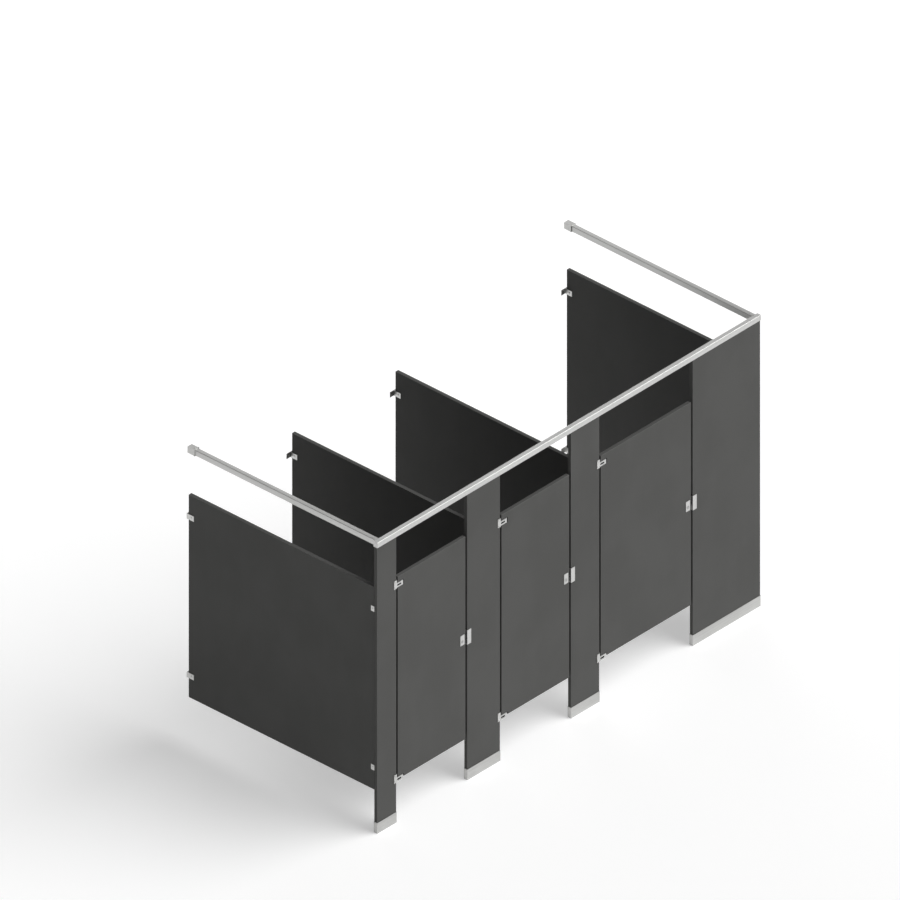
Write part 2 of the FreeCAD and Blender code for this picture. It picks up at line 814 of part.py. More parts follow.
def hinge(number):
    pivot = "(%s + pivot_offset)" % pilaster_right[number]
    door = "door_%d" % number
    bush_hole = "%s + bush_clearance" % bush_radius
    for end in ("top", "bottom"):
        hinge_bracket(number, end)

    # the upper pin turns in bushes above and below the tongue
    tongue_bottom = "(%s - tongue_height / 2)" % tongue_middles["top"]
    tongue_top = "(%s + tongue_height / 2)" % tongue_middles["top"]
    pin_foot = (pivot, middle_plane, "(%s - pin_reach)" % tongue_bottom)
    add_to_group("hinge_pins", rod("pin_radius", "tongue_height + 2 * pin_reach", pin_foot, "+z"))
    bush_length = "(pin_reach - notch_headroom)"
    notch_floor = "(%s - notch_headroom)" % tongue_bottom
    notch_roof = "(%s + notch_headroom)" % tongue_top
    door_bush(number, pivot, "(%s - %s)" % (notch_floor, bush_length), bush_length)
    door_bush(number, pivot, notch_roof, bush_length)
    drill(door, bush_hole, "%s + drill_overrun" % bush_length, (pivot, middle_plane, notch_floor), "-z")
    drill(door, bush_hole, "%s + drill_overrun" % bush_length, (pivot, middle_plane, notch_roof), "+z")

    # the lower pin stands in the tongue, and the door rests on its washer
    low_bottom = "(%s - tongue_height / 2)" % tongue_middles["bottom"]
    low_top = "(%s + tongue_height / 2)" % tongue_middles["bottom"]
    rest = "(%s + washer_thickness)" % low_top
    low_length = "(pin_reach - washer_thickness)"
    pin_foot = (pivot, middle_plane, low_bottom)
    add_to_group("hinge_pins", rod("pin_radius", "tongue_height + pin_reach", pin_foot, "+z"))
    washer_foot = (pivot, middle_plane, low_top)
    washer = ring("washer_radius", "pin_radius + pin_clearance", "washer_thickness", washer_foot, "+z")
    add_to_group("hinge_washers", washer)
    door_bush(number, pivot, rest, low_length)
    drill(door, bush_hole, "%s + drill_overrun" % low_length, (pivot, middle_plane, rest), "+z")

    # notches of the door round both tongues
    left = "(%s - drill_overrun)" % door_left[number]
    front = "(%s - drill_overrun)" % front_face
    across = "%s + drill_overrun" % notch_length
    through = "board + 2 * drill_overrun"
    low_start = "(door_bottom - drill_overrun)"
    for floor, roof in ((notch_floor, notch_roof), (low_start, rest)):
        notch = block((across, through, "%s - %s" % (roof, floor)), (left, front, floor))
        drills[door].append(notch)


# Latches: a turn through the door drives a sliding bolt inside a case, into a keeper on the pilaster

spindle_z = "(latch_height - spindle_drop)"
bolt_z = "(latch_height + bolt_rise)"
lip_bottom = "(latch_height - lip_drop - lip_height / 2)"
crank_radius = "(bolt_travel / sqrt(2))"
bolt_offset = "(crank_gap + crank_thickness + bolt_play)"
case_depth = "(%s + bolt_depth + bolt_play + case_wall)" % bolt_offset
case_bottom = "(latch_height - plate_height / 2)"


def latch(number):
    strike = door_right[number]
    door = "door_%d" % number
    spindle_x = "(%s - plate_inset - plate_width / 2)" % strike
    screw_points = [
        (spindle_x, "(%s + plate_height - case_screw_inset)" % case_bottom),
        (spindle_x, "(%s + case_screw_inset)" % case_bottom),
    ]

    # outside plate
    plate_front = "(%s - plate_thickness)" % front_face
    plate = block(
        ("plate_width", "plate_thickness", "plate_height"),
        ("%s - plate_inset - plate_width" % strike, plate_front, case_bottom),
    )
    window_foot = (spindle_x, "(%s - drill_overrun)" % plate_front, spindle_z)
    window = rod("disc_radius + disc_clearance", "plate_thickness + 2 * drill_overrun", window_foot, "+y")
    bite = "plate_bite + screw_clearance"
    bites = [rod(screw_hole, bite, (x, front_face, z), "-y") for x, z in screw_points]
    add_blank("latch_plate_%d" % number, cut(plate, [window] + bites))

    # turn: coin disc outside, spindle, crank with its pin, thumb turn inside
    disc_front = "(%s - disc_proud)" % plate_front
    disc_foot = (spindle_x, disc_front, spindle_z)
    disc_length = "(plate_thickness + disc_proud - disc_clearance)"
    hub_y = "(%s + %s + bolt_play)" % (back_face, case_depth)
    spindle_end = "(%s + thumb_hub_height)" % hub_y
    crank_y = "(%s + crank_gap)" % back_face
    pin_y = "(%s + crank_thickness)" % crank_y
    pin_x = "(%s - bolt_travel / 2)" % spindle_x
    pin_z = "(%s + bolt_travel / 2)" % spindle_z
    crank_reach = "(%s + crank_pin_radius + crank_rim)" % crank_radius
    crank = common(
        rod(crank_reach, "crank_thickness", (spindle_x, crank_y, spindle_z), "+y"),
        block(
            (crank_reach, "crank_thickness", crank_reach),
            ("%s - %s" % (spindle_x, crank_reach), crank_y, spindle_z),
        ),
    )
    turn = fuse([
        rod("disc_radius", disc_length, disc_foot, "+y"),
        rod("spindle_radius", "%s - %s" % (spindle_end, disc_front), disc_foot, "+y"),
        crank,
        rod("crank_hub_radius", "crank_thickness", (spindle_x, crank_y, spindle_z), "+y"),
        rod("crank_pin_radius", "bolt_depth", (pin_x, pin_y, pin_z), "+y"),
        rod("thumb_hub_radius", "thumb_hub_height", (spindle_x, hub_y, spindle_z), "+y"),
        block(
            ("thumb_width", "thumb_height", "thumb_length"),
            ("%s - thumb_width / 2" % spindle_x, spindle_end, "%s - thumb_length / 2" % spindle_z),
        ),
    ])
    coin_slot = block(
        ("coin_slot_width", "coin_slot_depth + drill_overrun", "coin_slot_length"),
        (
            "%s - coin_slot_width / 2" % spindle_x,
            "%s - drill_overrun" % disc_front,
            "%s - coin_slot_length / 2" % spindle_z,
        ),
    )
    add_blank("latch_turn_%d" % number, cut(turn, [coin_slot]))
    spindle_hole = "spindle_radius + spindle_clearance"
    drill(door, spindle_hole, "board + drill_overrun", (spindle_x, front_face, spindle_z), "+y")

    # sliding bolt with the upright slot that the crank pin works in
    bolt_bottom = "(%s - bolt_height / 2)" % bolt_z
    bar = block(
        ("bolt_length", "bolt_depth", "bolt_height"),
        ("%s - bolt_setback - bolt_length" % strike, "%s + %s" % (back_face, bolt_offset), bolt_bottom),
    )
    slot_half = "(crank_pin_radius + slot_play)"
    slot_top = "(%s + %s + %s)" % (spindle_z, crank_radius, slot_half)
    slot = block(
        (
            "2 * %s" % slot_half,
            "bolt_depth + 2 * drill_overrun",
            "%s - %s + drill_overrun" % (slot_top, bolt_bottom),
        ),
        (
            "%s - %s" % (pin_x, slot_half),
            "%s + %s - drill_overrun" % (back_face, bolt_offset),
            "%s - drill_overrun" % bolt_bottom,
        ),
    )
    add_blank("latch_bolt_%d" % number, cut(bar, [slot]))

    # case on the inside of the door, with the lip that closes against the keeper's bumper
    case_left = "(%s - case_edge_gap - case_length)" % strike
    shell = block(("case_length", case_depth, "plate_height"), (case_left, back_face, case_bottom))
    cavity = block(
        (
            "case_length - 2 * case_wall",
            "%s - case_wall + drill_overrun" % case_depth,
            "plate_height - 2 * case_wall",
        ),
        ("%s + case_wall" % case_left, "%s - drill_overrun" % back_face, "%s + case_wall" % case_bottom),
    )
    bolt_window = block(
        (
            "case_wall + 2 * drill_overrun",
            "bolt_depth + 2 * bolt_play",
            "bolt_height + 2 * bolt_play",
        ),
        (
            "%s - case_edge_gap - case_wall - drill_overrun" % strike,
            "%s + %s - bolt_play" % (back_face, bolt_offset),
            "%s - bolt_play" % bolt_bottom,
        ),
    )
    cover_hole = rod(
        "spindle_radius + disc_clearance",
        "%s + drill_overrun" % case_depth,
        (spindle_x, back_face, spindle_z),
        "+y",
    )
    bosses = [rod("case_boss_radius", case_depth, (x, back_face, z), "+y") for x, z in screw_points]
    boss_start = "%s - drill_overrun" % back_face
    boss_run = "%s + 2 * drill_overrun" % case_depth
    boss_holes = [rod(screw_hole, boss_run, (x, boss_start, z), "+y") for x, z in screw_points]
    strap = block(
        ("case_edge_gap + lip_thickness", "lip_sheet", "lip_height"),
        ("%s - case_edge_gap" % strike, back_face, lip_bottom),
    )
    lip = block(
        ("lip_thickness", "board - lip_setback", "lip_height"),
        (strike, "%s + lip_setback" % front_face, lip_bottom),
    )
    hollow = cut(shell, [cavity, bolt_window, cover_hole])
    add_blank("latch_case_%d" % number, cut(fuse([hollow, strap, lip] + bosses), boss_holes))
    for x, z in screw_points:
        seat = (x, "(%s + %s)" % (back_face, case_depth), z)
        reach = "%s + board + plate_bite" % case_depth
        add_to_group("door_screws_%d" % number, screw(seat, "-y", reach))
        drill(door, screw_hole, "board + drill_overrun", (x, front_face, z), "+y")


def keeper(number):
    pilaster = "pilaster_%d" % (number + 1)
    edge = pilaster_left[number + 1]
    bottom = "(latch_height - keeper_height / 2)"
    plate_size = ("keeper_width", "keeper_plate", "keeper_height")
    outer_front = "(%s - keeper_plate)" % front_face
    inner_back = "(%s + keeper_plate)" % back_face
    web_left = "(%s - keeper_web)" % edge
    loop_reach = "(%s + bolt_depth + loop_play - keeper_plate)" % bolt_offset
    loop_half = "(bolt_height / 2 + loop_play)"
    outer = block(plate_size, (edge, outer_front, bottom))
    inner = block(plate_size, (edge, back_face, bottom))
    web_size = ("keeper_web", "board + 2 * keeper_plate", "keeper_height")
    web = block(web_size, (web_left, outer_front, bottom))
    fin = block(("keeper_web", "fin_reach", "lip_height"), (web_left, inner_back, lip_bottom))
    loop = block(
        ("loop_length", "%s + loop_wall" % loop_reach, "2 * %s + 2 * loop_wall" % loop_half),
        (edge, inner_back, "%s - %s - loop_wall" % (bolt_z, loop_half)),
    )
    tunnel = block(
        ("loop_length + 2 * drill_overrun", loop_reach, "2 * %s" % loop_half),
        ("%s - drill_overrun" % edge, inner_back, "%s - %s" % (bolt_z, loop_half)),
    )
    tools = [tunnel]
    for sign in ("-", "+"):
        x = "(%s + keeper_width / 2)" % edge
        z = "(latch_height %s keeper_screw_spread / 2)" % sign
        seat = (x, inner_back, z)
        add_to_group("keeper_screws", screw(seat, "-y", "keeper_plate + screw_reach"))
        hole_start = shift(seat, "+y", "drill_overrun")
        tools.append(rod(screw_hole, "keeper_plate + drill_overrun", hole_start, "-y"))
        drill(pilaster, screw_hole, "screw_reach", (x, back_face, z), "-y")
    add_to_group("keepers", cut(fuse([outer, inner, web, fin, loop]), tools))

    # rubber bumper: outside the door's lip where the door opens inwards, inside it where it opens outwards
    bumper_left = "(%s + bumper_edge_gap)" % door_right[number]
    bumper_length = "strike_gap - keeper_web - bumper_edge_gap"
    if number == outward_door:
        depth = "keeper_plate + fin_reach - lip_sheet - bumper_gap"
        start = "(%s + lip_sheet + bumper_gap)" % back_face
    else:
        depth = "lip_setback - bumper_setback - bumper_gap"
        start = "(%s + bumper_setback)" % front_face
    bumper = block((bumper_length, depth, "lip_height"), (bumper_left, start, lip_bottom))
    add_to_group("keeper_bumpers", bumper)


# Coat hooks on the inside of each door

def coat_hook(number):
    drop = "hook_drop_wide" if number == outward_door else "hook_drop"
    height = "(%s - %s)" % (door_top, drop)
    middle = "(%s + door_%d_width / 2)" % (door_left[number], number)
    plate = block(
        ("hook_plate_width", "hook_plate", "hook_plate_height"),
        ("%s - hook_plate_width / 2" % middle, back_face, "%s - hook_plate_height / 2" % height),
    )
    arm = rod("hook_arm_radius", "hook_reach", (middle, back_face, height), "+y")
    knob = doc.addObject("Part::Sphere", "knob")
    tie(knob, Radius="hook_knob_radius")
    place(knob, (middle, "%s + hook_reach" % back_face, height))
    tools = []
    for sign in ("-", "+"):
        z = "(%s %s hook_screw_spread / 2)" % (height, sign)
        seat = (middle, "(%s + hook_plate)" % back_face, z)
        add_to_group("door_screws_%d" % number, screw(seat, "-y", "hook_plate + screw_reach"))
        hole_start = shift(seat, "+y", "drill_overrun")
        tools.append(rod(screw_hole, "hook_plate + drill_overrun", hole_start, "-y"))
        drill("door_%d" % number, screw_hole, "screw_reach", (middle, back_face, z), "-y")
    add_blank("coat_hook_%d" % number, cut(fuse([plate, arm, knob]), tools))


for number in doors:
    hinge(number)
    latch(number)
    keeper(number)
    coat_hook(number)

# Finished nodes: blanks with their holes, and the groups

nodes = {}
for node, blank in blanks.items():
    nodes[node] = cut(blank, drills[node]) if drills[node] else blank
for node, pieces in groups.items():
    nodes[node] = group(pieces)
for node, thing in nodes.items():
    thing.Label = node
doc.recompute()

for thing in doc.Objects:
    if "Invalid" in thing.State or "Error" in thing.State:
        raise RuntimeError("failed: %s (%s)" % (thing.Name, thing.Label))
for node, thing in nodes.items():
    if thing.Shape.isNull() or not thing.Shape.isValid():
        raise RuntimeError("bad shape: %s" % node)

os.makedirs("parts", exist_ok=True)
for node, thing in nodes.items():
    thing.Shape.exportStep("parts/%s.step" % node)
    print(node, len(thing.Shape.Solids), round(thing.Shape.Volume))
print(len(nodes), "nodes")
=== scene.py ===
import bmesh
import bpy
import itertools
import json
import math
from mathutils import Matrix, Vector


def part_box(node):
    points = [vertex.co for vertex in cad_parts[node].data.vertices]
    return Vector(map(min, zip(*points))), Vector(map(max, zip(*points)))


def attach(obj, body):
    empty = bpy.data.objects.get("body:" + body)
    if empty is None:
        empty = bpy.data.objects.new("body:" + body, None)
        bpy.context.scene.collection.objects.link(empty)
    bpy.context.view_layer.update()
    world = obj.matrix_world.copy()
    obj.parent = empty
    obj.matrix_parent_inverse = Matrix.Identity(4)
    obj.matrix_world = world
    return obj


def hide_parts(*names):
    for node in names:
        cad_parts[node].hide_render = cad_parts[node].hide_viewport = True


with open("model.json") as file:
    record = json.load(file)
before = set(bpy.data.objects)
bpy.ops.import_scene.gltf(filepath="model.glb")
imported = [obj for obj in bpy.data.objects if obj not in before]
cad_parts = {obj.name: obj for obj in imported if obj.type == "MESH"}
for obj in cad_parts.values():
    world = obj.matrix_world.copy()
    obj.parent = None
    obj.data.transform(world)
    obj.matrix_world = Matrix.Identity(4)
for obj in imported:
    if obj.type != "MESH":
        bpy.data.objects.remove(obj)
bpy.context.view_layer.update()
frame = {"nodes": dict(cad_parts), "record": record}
nodes = frame["nodes"]
record = frame["record"]
bodyOf = {node: body for body, members in record["behaviour"]["bodies"].items() for node in members}
mm = 0.001
doorNumbers = (1, 2, 3)
pilasters = ["pilaster_1", "pilaster_2", "pilaster_3", "pilaster_4"]
panels = ["end_panel_left", "divider_panel_left", "divider_panel_right", "end_panel_right"]
doors = ["door_%d" % number for number in doorNumbers]
print("frame loaded:", len(nodes), "nodes")


# Shader sums: a wire is one output of a node, and Python's operators on wires add Math nodes

class Wire:
    def __init__(self, tree, output=None):
        self.tree = tree
        self.output = output

    def plug(self, node, key, value):
        if isinstance(value, Wire):
            self.tree.links.new(value.output, node.inputs[key])
        else:
            node.inputs[key].default_value = value

    def add(self, kind, settings=None, inputs=None, out=0):
        node = self.tree.nodes.new(kind)
        for name, value in (settings or {}).items():
            setattr(node, name, value)
        for key, value in (inputs or {}).items():
            self.plug(node, key, value)
        return Wire(self.tree, node.outputs[out])

    def sum(self, operation, first, second):
        return self.add("ShaderNodeMath", {"operation": operation}, {0: first, 1: second})

    def __add__(self, other):
        return self.sum("ADD", self, other)

    def __radd__(self, other):
        return self.sum("ADD", other, self)

    def __sub__(self, other):
        return self.sum("SUBTRACT", self, other)

    def __rsub__(self, other):
        return self.sum("SUBTRACT", other, self)

    def __mul__(self, other):
        return self.sum("MULTIPLY", self, other)

    def __rmul__(self, other):
        return self.sum("MULTIPLY", other, self)

    def least(self, other):
        return self.sum("MINIMUM", self, other)

    def most(self, other):
        return self.sum("MAXIMUM", self, other)

    def between(self, start, end):  # 0 at start, 1 at end, eased
        settings = {"interpolation_type": "SMOOTHSTEP"}
        return self.add("ShaderNodeMapRange", settings, {"Value": self, "From Min": start, "From Max": end})

    def colour(self, first, second):  # this wire mixes from the first colour to the second
        settings = {"data_type": "RGBA"}
        return self.add("ShaderNodeMix", settings, {0: self, 6: first, 7: second}, out=2)

    def noise(self, scale, detail=2.0, stretch=(1, 1, 1)):  # on a wire that holds a place
        spread = self.add("ShaderNodeMapping", None, {"Vector": self, "Scale": stretch})
        values = {"Vector": spread, "Scale": scale, "Detail": detail}
        return self.add("ShaderNodeTexNoise", None, values)

    def bump(self, strength, height):
        return self.add("ShaderNodeBump", None, {"Strength": strength, "Distance": height, "Height": self})


def newFinish(name, **constants):
    material = bpy.data.materials.new(name)
    material.use_nodes = True
    shader = material.node_tree.nodes["Principled BSDF"]
    for socket, value in constants.items():
        shader.inputs[socket.replace("_", " ")].default_value = value
    place = Wire(material.node_tree).add("ShaderNodeTexCoord", out="Object")
    return material, shader, place


def wear(piece, material):
    if not piece.material_slots:
        piece.data.materials.append(material)
    for slot in piece.material_slots:
        slot.material = material


# Boards: charcoal solid plastic with a pebbled skin, cloudy in colour, its eased edges paler: partly wear,
# partly a painted highlight

boardLook = {
    "charcoal": (0.0865, 0.0865, 0.084, 1),
    "cloudy": (0.0785, 0.0785, 0.076, 1),
    # paler edge colour: partly wear, partly a painted highlight along the eased edges
    "rubbedAndHighlit": (0.15, 0.15, 0.147, 1),
    "fleck": (0.13, 0.13, 0.127, 1),
    "shine": 0.05,
    "cloudScale": 2.3,
    "smearScale": 7.0,
    "smearStretch": (1, 1, 0.25),
    "cloudShare": 0.65,       # of the mottle, and the smears have the rest
    "mottleFrom": 0.36,
    "mottleTo": 0.64,
    "fleckScale": 900.0,
    "fleckFrom": 0.66,
    "fleckTo": 0.74,
    "fleckShare": 0.35,
    "pebbleScale": 480.0,
    "pebbleHeight": 0.12 * mm,
    "pebbleStrength": 0.30,
    "edgeWidth": 3.5 * mm,
    "edgeShare": 0.35,        # pale along every edge, as wear and painted highlight, and the smears add to it
    "edgeSmears": 0.5,
    "roughness": 0.5,
    "roughnessSpread": 0.16,
}


def boardFinish(node):
    look = boardLook
    low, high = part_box(node)
    material, shader, place = newFinish("charcoal_" + node, Specular_IOR_Level=look["shine"])
    clouds = place.noise(look["cloudScale"], 4.0)
    smears = place.noise(look["smearScale"], 3.0, look["smearStretch"])
    flecks = place.noise(look["fleckScale"], 1.0).between(look["fleckFrom"], look["fleckTo"])
    pebbles = place.noise(look["pebbleScale"], 1.5)

    # distance inside each pair of faces; near an edge the two smallest are both small
    centred = place.add("ShaderNodeVectorMath", {"operation": "SUBTRACT"}, {0: place, 1: (low + high) / 2})
    folded = place.add("ShaderNodeVectorMath", {"operation": "ABSOLUTE"}, {0: centred})
    inside = place.add("ShaderNodeVectorMath", {"operation": "SUBTRACT"}, {0: (high - low) / 2, 1: folded})
    x, y, z = [place.add("ShaderNodeSeparateXYZ", None, {0: inside}, out=axis) for axis in "XYZ"]
    second = x.least(y).most(x.most(y).least(z))
    # edge mask: paler edges, partly wear and partly a painted highlight
    edge = second.between(look["edgeWidth"], 0.0) * (look["edgeShare"] + look["edgeSmears"] * smears)

    mixed = look["cloudShare"] * clouds + (1 - look["cloudShare"]) * smears
    mottle = mixed.between(look["mottleFrom"], look["mottleTo"])
    skin = mottle.colour(look["cloudy"], look["charcoal"])
    skin = (look["fleckShare"] * flecks).colour(skin, look["fleck"])
    skin = edge.colour(skin, look["rubbedAndHighlit"])
    rough = look["roughness"] + look["roughnessSpread"] * (smears - 0.5)
    place.plug(shader, "Base Color", skin)
    place.plug(shader, "Roughness", rough)
    place.plug(shader, "Normal", pebbles.bump(look["pebbleStrength"], look["pebbleHeight"]))
    return material


# Metals: fine lines along the way the piece was drawn, brushed or rolled

frontRailLook = {
    "bright": (0.64, 0.64, 0.63, 1),
    "dull": (0.545, 0.545, 0.535, 1),
    "lines": 1100.0,
    "lineHeight": 0.012 * mm,
    "roughness": 0.34,
    "roughnessSpread": 0.14,
}
# side rails, caps, sockets and corner angles: a darker, rougher copy of the front rail's aluminium, as
# painted shade
shadedSideRailLook = {
    "bright": (0.56, 0.56, 0.55, 1),
    "dull": (0.475, 0.475, 0.465, 1),
    "lines": 1100.0,
    "lineHeight": 0.012 * mm,
    "roughness": 0.38,
    "roughnessSpread": 0.14,
}
steelLook = {
    "bright": (0.645, 0.645, 0.635, 1),
    "dull": (0.52, 0.52, 0.51, 1),
    "lines": 1500.0,
    "lineHeight": 0.015 * mm,
    "roughness": 0.33,
    "roughnessSpread": 0.16,
}
shoeLook = {
    "bright": (0.56, 0.56, 0.55, 1),
    "dull": (0.455, 0.455, 0.445, 1),
    "lines": 1500.0,
    "lineHeight": 0.015 * mm,
    "roughness": 0.33,
    "roughnessSpread": 0.16,
}
# latch turn: a darker copy of the brushed steel, as painted shade where the turn sits in its plate
shadedDiscLook = {
    "bright": (0.52, 0.52, 0.515, 1),
    "dull": (0.41, 0.41, 0.405, 1),
    "lines": 1500.0,
    "lineHeight": 0.015 * mm,
    "roughness": 0.36,
    "roughnessSpread": 0.16,
}
screwLook = {
    "bright": (0.70, 0.70, 0.69, 1),
    "dull": (0.50, 0.50, 0.49, 1),
    "lines": 2600.0,
    "lineHeight": 0.01 * mm,
    "roughness": 0.30,
    "roughnessSpread": 0.20,
}
lineStretch = {"x": (0.012, 1, 1), "y": (1, 0.012, 1), "z": (1, 1, 0.012), "none": (1, 1, 1)}
metalGrain = {
    "linesInBand": 9,
    "cloudScale": 5.0,
    "toneShares": (0.45, 0.3, 0.25),  # of lines, bands and clouds
    "toneFrom": 0.34,
    "toneTo": 0.66,
    "roughShares": (0.6, 0.4),        # of lines and clouds
    "strength": 0.35,
}
dullGrain = {"from": 0.35, "to": 0.7, "roughnessSpread": 0.2, "strength": 0.25, "height": 0.05 * mm}


def metalFinish(name, look, run):
    material, shader, place = newFinish(name, Metallic=1.0)
    lines = place.noise(look["lines"], 2.0, lineStretch[run])
    bands = place.noise(look["lines"] / metalGrain["linesInBand"], 2.0, lineStretch[run])
    clouds = place.noise(metalGrain["cloudScale"], 3.0)
    ofLines, ofBands, ofClouds = metalGrain["toneShares"]
    mixed = ofLines * lines + ofBands * bands + ofClouds * clouds
    tone = mixed.between(metalGrain["toneFrom"], metalGrain["toneTo"])
    ofLines, ofClouds = metalGrain["roughShares"]
    rough = look["roughness"] + look["roughnessSpread"] * (ofLines * lines + ofClouds * clouds - 0.5)
    place.plug(shader, "Base Color", tone.colour(look["dull"], look["bright"]))
    place.plug(shader, "Roughness", rough)
    place.plug(shader, "Normal", lines.bump(metalGrain["strength"], look["lineHeight"]))
    return material


def dullFinish(name, base, spot, scale, roughness, shine=0.5):
    material, shader, place = newFinish(name, Specular_IOR_Level=shine)
    specks = place.noise(scale, 3.0)
    place.plug(shader, "Base Color", specks.between(dullGrain["from"], dullGrain["to"]).colour(base, spot))
    place.plug(shader, "Roughness", roughness + dullGrain["roughnessSpread"] * (specks - 0.5))
    place.plug(shader, "Normal", specks.bump(dullGrain["strength"], dullGrain["height"]))
    return material


frontRailMetal = metalFinish("satin_front_rail", frontRailLook, "x")
# painted shade: the same aluminium as the front rail, darkened
shadedSideRailMetal = metalFinish("satin_side_rail", shadedSideRailLook, "y")
steelLevel = metalFinish("brushed_steel_level", steelLook, "x")
steelUpright = metalFinish("brushed_steel_upright", steelLook, "z")
shoeSteel = metalFinish("brushed_shoe_steel", shoeLook, "x")
# painted shade: the turn's steel is darkened to read as shadowed
shadedDiscSteel = metalFinish("latch_turn_steel", shadedDiscLook, "x")
screwSteel = metalFinish("screw_steel", screwLook, "none")
nylon = dullFinish("nylon", (0.80, 0.79, 0.75, 1), (0.72, 0.71, 0.66, 1), 160.0, 0.42)
rubber = dullFinish("black_rubber", (0.018, 0.018, 0.018, 1), (0.035, 0.035, 0.034, 1), 700.0, 0.72)
# near-black finish for the hinge slot plugs: painted shade in the slots
slotShadeBlack = dullFinish("black_plug", (0.006, 0.006, 0.006, 1), (0.012, 0.012, 0.012, 1), 700.0, 0.8, 0.15)
print("metals, nylon and rubber ready")


# Working moves in edit mode

near = {"merge": 0.002 * mm, "level": 0.01 * mm, "ring": 0.02 * mm, "touch": 0.05 * mm, "beside": 0.1 * mm}
smoothing = {"piece": 38, "turned": 32, "sharp": 40, "flat": 1}  # degrees between faces


def activate(piece):
    bpy.ops.object.select_all(action="DESELECT")
    piece.select_set(True)
    bpy.context.view_layer.objects.active = piece


def pick(piece, kind, test):  # selects the verts, edges or faces that pass the test
    bpy.ops.mesh.select_mode(type={"verts": "VERT", "edges": "EDGE", "faces": "FACE"}[kind])
    bpy.ops.mesh.select_all(action="DESELECT")
    shape = bmesh.from_edit_mesh(piece.data)
    for part in getattr(shape, kind):
        part.select_set(test(part))
    shape.select_flush_mode()
    bmesh.update_edit_mesh(piece.data)


def middle(edge):
    return (edge.verts[0].co + edge.verts[1].co) / 2


def runsAlong(edge, axis):
    span = edge.verts[1].co - edge.verts[0].co
    return abs(span["xyz".index(axis)]) > 0.99 * span.length


def onBoxFaces(edge, low, high, axes):  # on how many of these axes the edge lies in a face of the box
    place = middle(edge)
    gaps = [min(abs(place[axis] - low[axis]), abs(place[axis] - high[axis])) for axis in axes]
    return sum(gap < near["touch"] for gap in gaps)


def roundEdges(piece, test, radius, segments):
    activate(piece)
    bpy.ops.object.mode_set(mode="EDIT")
    pick(piece, "edges", test)
    bpy.ops.mesh.bevel(offset=radius, segments=segments, affect="EDGES", clamp_overlap=True)
    bpy.ops.object.mode_set(mode="OBJECT")


def flattenFaces(piece):  # rounded edges are smooth, and the broad faces stay flat to the light
    activate(piece)
    bpy.ops.object.shade_smooth_by_angle(angle=math.radians(smoothing["piece"]))
    flats = piece.modifiers.new("flatFaces", "WEIGHTED_NORMAL")
    flats.keep_sharp = True
    bpy.ops.object.modifier_apply(modifier=flats.name)


def softenEdges(piece, width, segments=2):
    activate(piece)
    bevel = piece.modifiers.new("softEdges", "BEVEL")
    bevel.width = width
    bevel.segments = segments
    bevel.limit_method = "ANGLE"
    bevel.angle_limit = math.radians(smoothing["sharp"])
    bpy.ops.object.modifier_apply(modifier=bevel.name)
    flattenFaces(piece)


def cadCopy(node):  # the node's mesh as one closed skin with whole faces
    piece = bpy.data.objects.new(node + "_finished", nodes[node].data.copy())
    bpy.context.collection.objects.link(piece)
    activate(piece)
    bpy.ops.object.mode_set(mode="EDIT")
    bpy.ops.mesh.select_all(action="SELECT")
    bpy.ops.mesh.remove_doubles(threshold=near["merge"])
    bpy.ops.mesh.dissolve_limited(angle_limit=math.radians(smoothing["flat"]))
    bpy.ops.object.mode_set(mode="OBJECT")
    bpy.ops.mesh.customdata_custom_splitnormals_clear()
    return piece


def standIn(piece, node, material):
    wear(piece, material)
    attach(piece, bodyOf[node])
    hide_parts(node)
    return piece


# Boards: the edges round their faces are eased

boardFit = {"easedEdge": 1.6 * mm}

for node in pilasters + panels + doors:
    low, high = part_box(node)
    board = cadCopy(node)
    roundEdges(board, lambda edge: onBoxFaces(edge, low, high, (0, 1, 2)) > 1, boardFit["easedEdge"], 3)
    flattenFaces(board)
    standIn(board, node, boardFinish(node))
print("boards finished:", len(pilasters + panels + doors))


# Headrail: drawn aluminium channels, with caps and wall sockets whose edges are broken

railFit = {"capEdge": 0.6 * mm, "socketEdge": 0.9 * mm}

wear(nodes["headrail_front"], frontRailMetal)
# the side rails and the pieces below wear the darkened aluminium, painted shade
wear(nodes["headrail_left"], shadedSideRailMetal)
wear(nodes["headrail_right"], shadedSideRailMetal)
wear(nodes["headrail_corner_angles"], shadedSideRailMetal)

caps = cadCopy("headrail_end_caps")
softenEdges(caps, railFit["capEdge"])
standIn(caps, "headrail_end_caps", shadedSideRailMetal)

sockets = cadCopy("headrail_wall_sockets")
softenEdges(sockets, railFit["socketEdge"])
standIn(sockets, "headrail_wall_sockets", shadedSideRailMetal)
print("headrail finished")


# Shoes: folded sheet, so the upright corners are bends

shoeFit = {"sheet": 1.0 * mm, "outerBend": 2.0 * mm, "innerBend": 1.0 * mm, "rim": 0.3 * mm}

for number in (1, 2, 3, 4):
    node = "shoe_%d" % number
    low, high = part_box(node)
    shoe = cadCopy(node)

    def onCorner(edge, inset):  # an upright edge this far inside the shoe's ends
        depth = min(abs(middle(edge).x - side) for side in (low.x, high.x))
        return runsAlong(edge, "z") and abs(depth - inset) < near["beside"]

    roundEdges(shoe, lambda edge: onCorner(edge, shoeFit["sheet"]), shoeFit["innerBend"], 3)
    roundEdges(shoe, lambda edge: onCorner(edge, 0.0), shoeFit["outerBend"], 4)
    softenEdges(shoe, shoeFit["rim"])
    standIn(shoe, node, shoeSteel)
print("shoes finished")


# Brackets, hinges and keepers: their edges are broken as on cast and pressed steel

steelEdges = {
    "wall_brackets": 0.6 * mm,
    "pilaster_brackets": 0.6 * mm,
    "hinge_brackets_top": 1.0 * mm,
    "hinge_brackets_bottom": 1.0 * mm,
    "keepers": 0.9 * mm,
}

